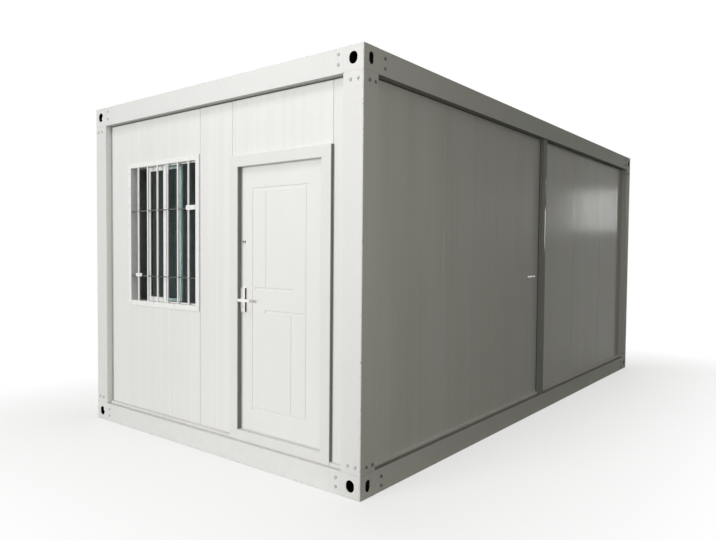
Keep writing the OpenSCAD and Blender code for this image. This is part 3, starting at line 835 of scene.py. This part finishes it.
def set_world():
    """White where it is seen, and a dim warm light on the cabin."""
    warm = (1.0, 0.985, 0.82, 1.0)
    world = bpy.data.worlds.new("studio")
    world.use_nodes = True
    tree = world.node_tree
    tree.nodes.clear()
    dim = add(tree, "ShaderNodeBackground", {"Color": warm, "Strength": 0.175})
    plain = add(tree, "ShaderNodeBackground", {"Color": WHITE, "Strength": 1.0})
    mix = add(tree, "ShaderNodeMixShader", {0: seen(tree), 1: dim.outputs[0], 2: plain.outputs[0]})
    add(tree, "ShaderNodeOutputWorld", {"Surface": mix.outputs[0]})
    bpy.context.scene.world = world


def add_floor():
    """Pale floor that keeps the shadow and turns into the white background away from the cabin."""
    dark_grain = (0.9, 0.9, 0.89, 1.0)
    pale_grain = (0.94, 0.94, 0.93, 1.0)
    left_bounce = (0.78, 0.777, 0.765, 1.0)
    right_bounce = (0.06, 0.06, 0.055, 1.0)
    material, tree = new_material("studio_floor")
    shown = seen(tree)
    pale = blend(tree, noise(tree, 25.0, 4.0), dark_grain, pale_grain)
    # Little light bounces up to the right side, which is in shade in the photograph
    right = spread(tree, axis(tree, "X"), 1.2, 1.7)
    bounce = blend(tree, right, left_bounce, right_bounce)
    near = add(tree, "ShaderNodeBsdfDiffuse", {"Color": blend(tree, shown, bounce, pale)})
    white = add(tree, "ShaderNodeEmission", {"Color": WHITE, "Strength": 1.0})
    squares = []
    for name, half in (("X", HALF_WIDTH), ("Y", HALF_LENGTH)):
        distance = math_node(tree, "SUBTRACT", math_node(tree, "ABSOLUTE", axis(tree, name)), half)
        outside = math_node(tree, "MAXIMUM", distance, 0.0)
        squares.append(times(tree, outside, outside))
    away = math_node(tree, "SQRT", math_node(tree, "ADD", squares[0], squares[1]))
    fade = times(tree, spread(tree, away, 0.0, FLOOR_FADE, FLOOR_WHITE, 1.0), shown)
    mix = add(tree, "ShaderNodeMixShader", {0: fade, 1: near.outputs[0], 2: white.outputs[0]})
    add(tree, "ShaderNodeOutputMaterial", {"Surface": mix.outputs[0]})
    mesh = bpy.data.meshes.new("studio_floor")
    corners = [(sx * FLOOR_HALF, sy * FLOOR_HALF, 0.0) for sx, sy in ((-1, -1), (1, -1), (1, 1), (-1, 1))]
    mesh.from_pydata(corners, [], [(0, 1, 2, 3)])
    floor = bpy.data.objects.new("studio_floor", mesh)
    floor.location.z = -FLOOR_DROP
    bpy.context.scene.collection.objects.link(floor)
    mesh.materials.append(material)


def add_lamp(name, at, toward, size, power, tint=(1.0, 1.0, 1.0)):
    """Rectangular lamp that looks toward a point and stays hidden from the camera."""
    lamp = bpy.data.lights.new(name, "AREA")
    lamp.shape = "RECTANGLE"
    lamp.size, lamp.size_y = size
    lamp.energy = power
    lamp.color = tint
    holder = bpy.data.objects.new(name, lamp)
    holder.matrix_world = facing(at, Vector(at) - Vector(toward))
    holder.visible_camera = False
    bpy.context.scene.collection.objects.link(holder)
    return holder


def add_lamps():
    """Broad soft key from the front left, lamps above, and light for the other sides."""
    key_place = (-6.0, -12.0, 4.0)
    toward_key = (-0.38, -0.915, 0.11)
    key = bpy.data.lights.new("front_key", "SUN")
    key.energy = 1.79
    key.color = COOL_LIGHT
    key.angle = math.radians(18)
    holder = bpy.data.objects.new("front_key", key)
    holder.matrix_world = facing(key_place, toward_key)
    # The key stays out of reflections, where it would turn the handle white
    holder.visible_glossy = False
    bpy.context.scene.collection.objects.link(holder)
    add_lamp("head_fill", (0.8, -5.6, 3.5), (0.7, -3.0, 2.4), (1.6, 0.8), 8)
    add_lamp("front_sky", (1.1, -6.6, 7.0), (1.0, -3.0, 1.0), (2.0, 2.4), 125, COOL_LIGHT)
    add_lamp("side_fill", (4.2, -5.0, 1.9), (1.5, -2.7, 1.4), (2.0, 2.0), 25, (1.0, 0.98, 0.9))
    add_lamp("back_key", (-2.2, 10.5, 3.4), (0.0, 3.0, 1.4), (5.0, 4.0), 300)
    add_lamp("left_fill", (-9.0, 1.0, 3.2), (-1.5, 0.0, 1.4), (7.0, 4.0), 100)
    add_lamp("overhead", (-1.0, -2.0, 9.0), (-1.0, -2.0, 0.0), (5.0, 13.0), 430)
    # The far lamp gives only reflections, for a glint along the right wall
    glint = add_lamp("far_glint", (4.5, 12.0, 2.7), (1.45, 1.7, 2.05), (1.0, 1.1), 20)
    glint.visible_diffuse = False


def soften(piece, width):
    """Welds a CAD node's mesh, eases its edges where a width is given, and evens its shading."""
    weld = piece.modifiers.new("weld", "WELD")
    weld.merge_threshold = 0.00002
    if width:
        bevel = piece.modifiers.new("bevel", "BEVEL")
        bevel.width = width
        bevel.segments = 2
        bevel.limit_method = "ANGLE"
        bevel.angle_limit = math.radians(50)
        bevel.miter_outer = "MITER_ARC"
    else:
        split = piece.modifiers.new("split", "EDGE_SPLIT")
        split.split_angle = math.radians(2)
    even = piece.modifiers.new("even", "WEIGHTED_NORMAL")
    even.keep_sharp = True


def main():
    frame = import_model()
    bpy.context.scene.view_settings.view_transform = "Standard"

    finishes = {
        "frame_paint": frame_paint(),
        "panel_paint": panel_paint(),
        "galvanised": galvanised(),
        "deck_board": deck_board(),
        "white_plastic": white_plastic(),
        "window_glass": window_glass(),
        "bar_paint": bar_paint(),
        "hardware": hardware(),
    }
    # The end rails get less painted shade on their undersides
    ends = frame_paint("end_rail_paint", under=0.45)
    # Nodes with one of these words in their names have a finish of their own
    special = {
        "casting": frame_paint("casting_paint", hollow=True),
        # The middle posts are painted darker, as painted shade
        "mid_posts": frame_paint("shaded_post_paint", tone=0.44, scraped=True),
        "top_rail_front": ends,
        "top_rail_back": ends,
        "door_frame": frame_paint("door_frame_paint", dust=0.06, under=0.0),
        "door_leaf": panel_paint("door_paint", ribbed=False),
        "door_lock_plates": hardware("lock_plate_steel", shaded_sides=True),
    }
    for part in frame["record"]["subparts"]:
        piece = frame["nodes"][part["node"]]
        slot = part["material_slot"]
        piece.data.materials.clear()
        paint = next((special[key] for key in special if key in part["node"]), finishes[slot])
        piece.data.materials.append(paint)
        soften(piece, EDGES.get(slot, OTHER_EDGE))

    painted = bolt_steel("painted_bolts", (0.6, 0.6, 0.58))
    # The side bolts are darker, as painted shade
    dark = bolt_steel("shaded_side_bolts", (0.16, 0.16, 0.15))
    frame_bolts(painted, dark)
    roof_screws(bolt_steel("roof_screw_steel", (0.43, 0.43, 0.41)))
    door_seals_and_shade(rubber("seal_rubber", (0.17, 0.175, 0.168)))
    black = rubber("black_rubber", (0.035, 0.036, 0.034))
    post_seals_and_shade(black)
    pane_gaskets(black)
    lock_darks(black)
    grille_clips(finishes["white_plastic"])
    lock_fittings(finishes["hardware"])
    hinge_screws(finishes["hardware"], "leaf_hinge_screws", "door", LEAF_COLUMNS)
    hinge_screws(finishes["hardware"], "frame_hinge_screws", "cabin", FRAME_COLUMNS)

    place_camera()
    set_world()
    add_floor()
    add_lamps()


main()
